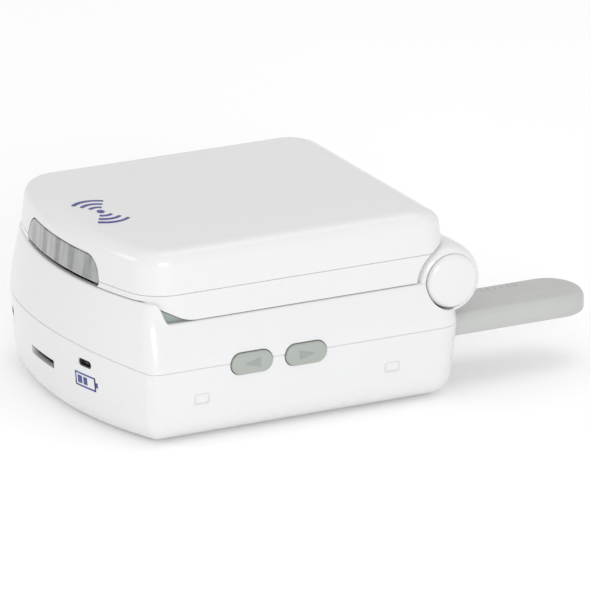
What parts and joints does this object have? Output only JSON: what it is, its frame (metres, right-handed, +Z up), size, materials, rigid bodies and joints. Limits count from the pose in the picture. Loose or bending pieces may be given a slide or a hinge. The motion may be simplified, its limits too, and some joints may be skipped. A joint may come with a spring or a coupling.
{
  "type": "folding video monitor",
  "caption": "Folding handheld video monitor, closed: white base with side keys and ports, hinged screen lid with a signal window, swing-out aerial.",
  "frame": {"origin": "centre of the bounding box's bottom face, on the table under the feet", "axes": "+X towards the side keys, +Y from the bowed front towards the hinge and aerial, +Z up"},
  "size_m": [0.1146, 0.189, 0.0672],
  "materials": {
    "white_casing": "glossy moulded",
    "grey_aerial": "satin moulded",
    "deck_grey": "satin moulded",
    "key_grey": "soft matte",
    "lens_grey": "translucent ribbed",
    "screen_black": "polished",
    "black_parts": "satin",
    "foot_grey": "matte",
    "steel": "plated",
    "brass": "plain",
    "board_green": "solder mask",
    "battery_blue": "shrink wrap"
  },
  "bodies": {
    "base": {"base_lower_casing": "white_casing", "base_upper_casing": "white_casing", "battery_door": "white_casing", "hinge_cap_left": "white_casing", "hinge_cap_right": "white_casing", "keypad_deck": "deck_grey", "key_membrane": "key_grey", "speaker": "black_parts", "card_reader": "black_parts", "earphone_jack": "black_parts", "foot_front_left": "foot_grey", "foot_front_right": "foot_grey", "foot_rear_left": "foot_grey", "foot_rear_right": "foot_grey", "casing_screw_front_left": "steel", "casing_screw_front_right": "steel", "casing_screw_rear_left": "steel", "casing_screw_rear_right": "steel", "battery_door_screw": "steel", "hinge_spindle_left": "steel", "hinge_spindle_right": "steel", "aerial_pivot_pin": "steel", "microphone": "steel", "lid_sensor_magnet": "steel", "charge_socket": "steel", "main_board": "board_green", "keypad_board": "board_green", "side_key_board": "board_green", "battery_pack": "battery_blue"},
    "lid": {"lid_outer_cover": "white_casing", "lid_screen_bezel": "white_casing", "signal_lens": "lens_grey", "screen_window": "screen_black", "lcd_panel": "black_parts", "display_board": "board_green", "lamp_board": "board_green", "signal_led_strip": "lens_grey", "lid_screw_front_left": "steel", "lid_screw_front_right": "steel", "lid_screw_rear_left": "steel", "lid_screw_rear_right": "steel", "lid_pad_left": "foot_grey", "lid_pad_right": "foot_grey", "hinge_bush_left": "brass", "hinge_bush_right": "brass"},
    "aerial": {"aerial_upper_shell": "grey_aerial", "aerial_lower_shell": "grey_aerial", "aerial_element": "brass"},
    "side_key_front_cap": {"side_key_front": "key_grey"},
    "side_key_rear_cap": {"side_key_rear": "key_grey"},
    "navigation_key_cap": {"navigation_key": "key_grey"},
    "menu_key_cap": {"menu_key": "key_grey"},
    "volume_key_cap": {"volume_key": "key_grey"},
    "camera_key_cap": {"camera_key": "key_grey"},
    "talk_key_cap": {"talk_key": "key_grey"},
    "power_key_cap": {"power_key": "key_grey"}
  },
  "joints": [
    {"name": "lid_hinge", "type": "hinge", "parent": "base", "child": "lid", "pos_m": [-0.0005, 0.0335, 0.0415], "axis": [-1, 0, 0], "range_deg": [0, 120]},
    {"name": "aerial_swing", "type": "hinge", "parent": "base", "child": "aerial", "pos_m": [0.0333, 0.024, 0.0224], "axis": [0, 0, 1], "range_deg": [0, 90]},
    {"name": "side_key_front_press", "type": "slide", "parent": "base", "child": "side_key_front_cap", "axis": [-1, 0, 0], "range_m": [0, 0.0008], "stiffness_N_per_m": 1500},
    {"name": "side_key_rear_press", "type": "slide", "parent": "base", "child": "side_key_rear_cap", "axis": [-1, 0, 0], "range_m": [0, 0.0008], "stiffness_N_per_m": 1500},
    {"name": "navigation_key_press", "type": "slide", "parent": "base", "child": "navigation_key_cap", "axis": [0, 0, -1], "range_m": [0, 0.0006], "stiffness_N_per_m": 1500},
    {"name": "menu_key_press", "type": "slide", "parent": "base", "child": "menu_key_cap", "axis": [0, 0, -1], "range_m": [0, 0.0006], "stiffness_N_per_m": 1500},
    {"name": "volume_key_press", "type": "slide", "parent": "base", "child": "volume_key_cap", "axis": [0, 0, -1], "range_m": [0, 0.0006], "stiffness_N_per_m": 1500},
    {"name": "camera_key_press", "type": "slide", "parent": "base", "child": "camera_key_cap", "axis": [0, 0, -1], "range_m": [0, 0.0006], "stiffness_N_per_m": 1500},
    {"name": "talk_key_press", "type": "slide", "parent": "base", "child": "talk_key_cap", "axis": [0, 0, -1], "range_m": [0, 0.0006], "stiffness_N_per_m": 1500},
    {"name": "power_key_press", "type": "slide", "parent": "base", "child": "power_key_cap", "axis": [0, 0, -1], "range_m": [0, 0.0006], "stiffness_N_per_m": 1500}
  ]
}
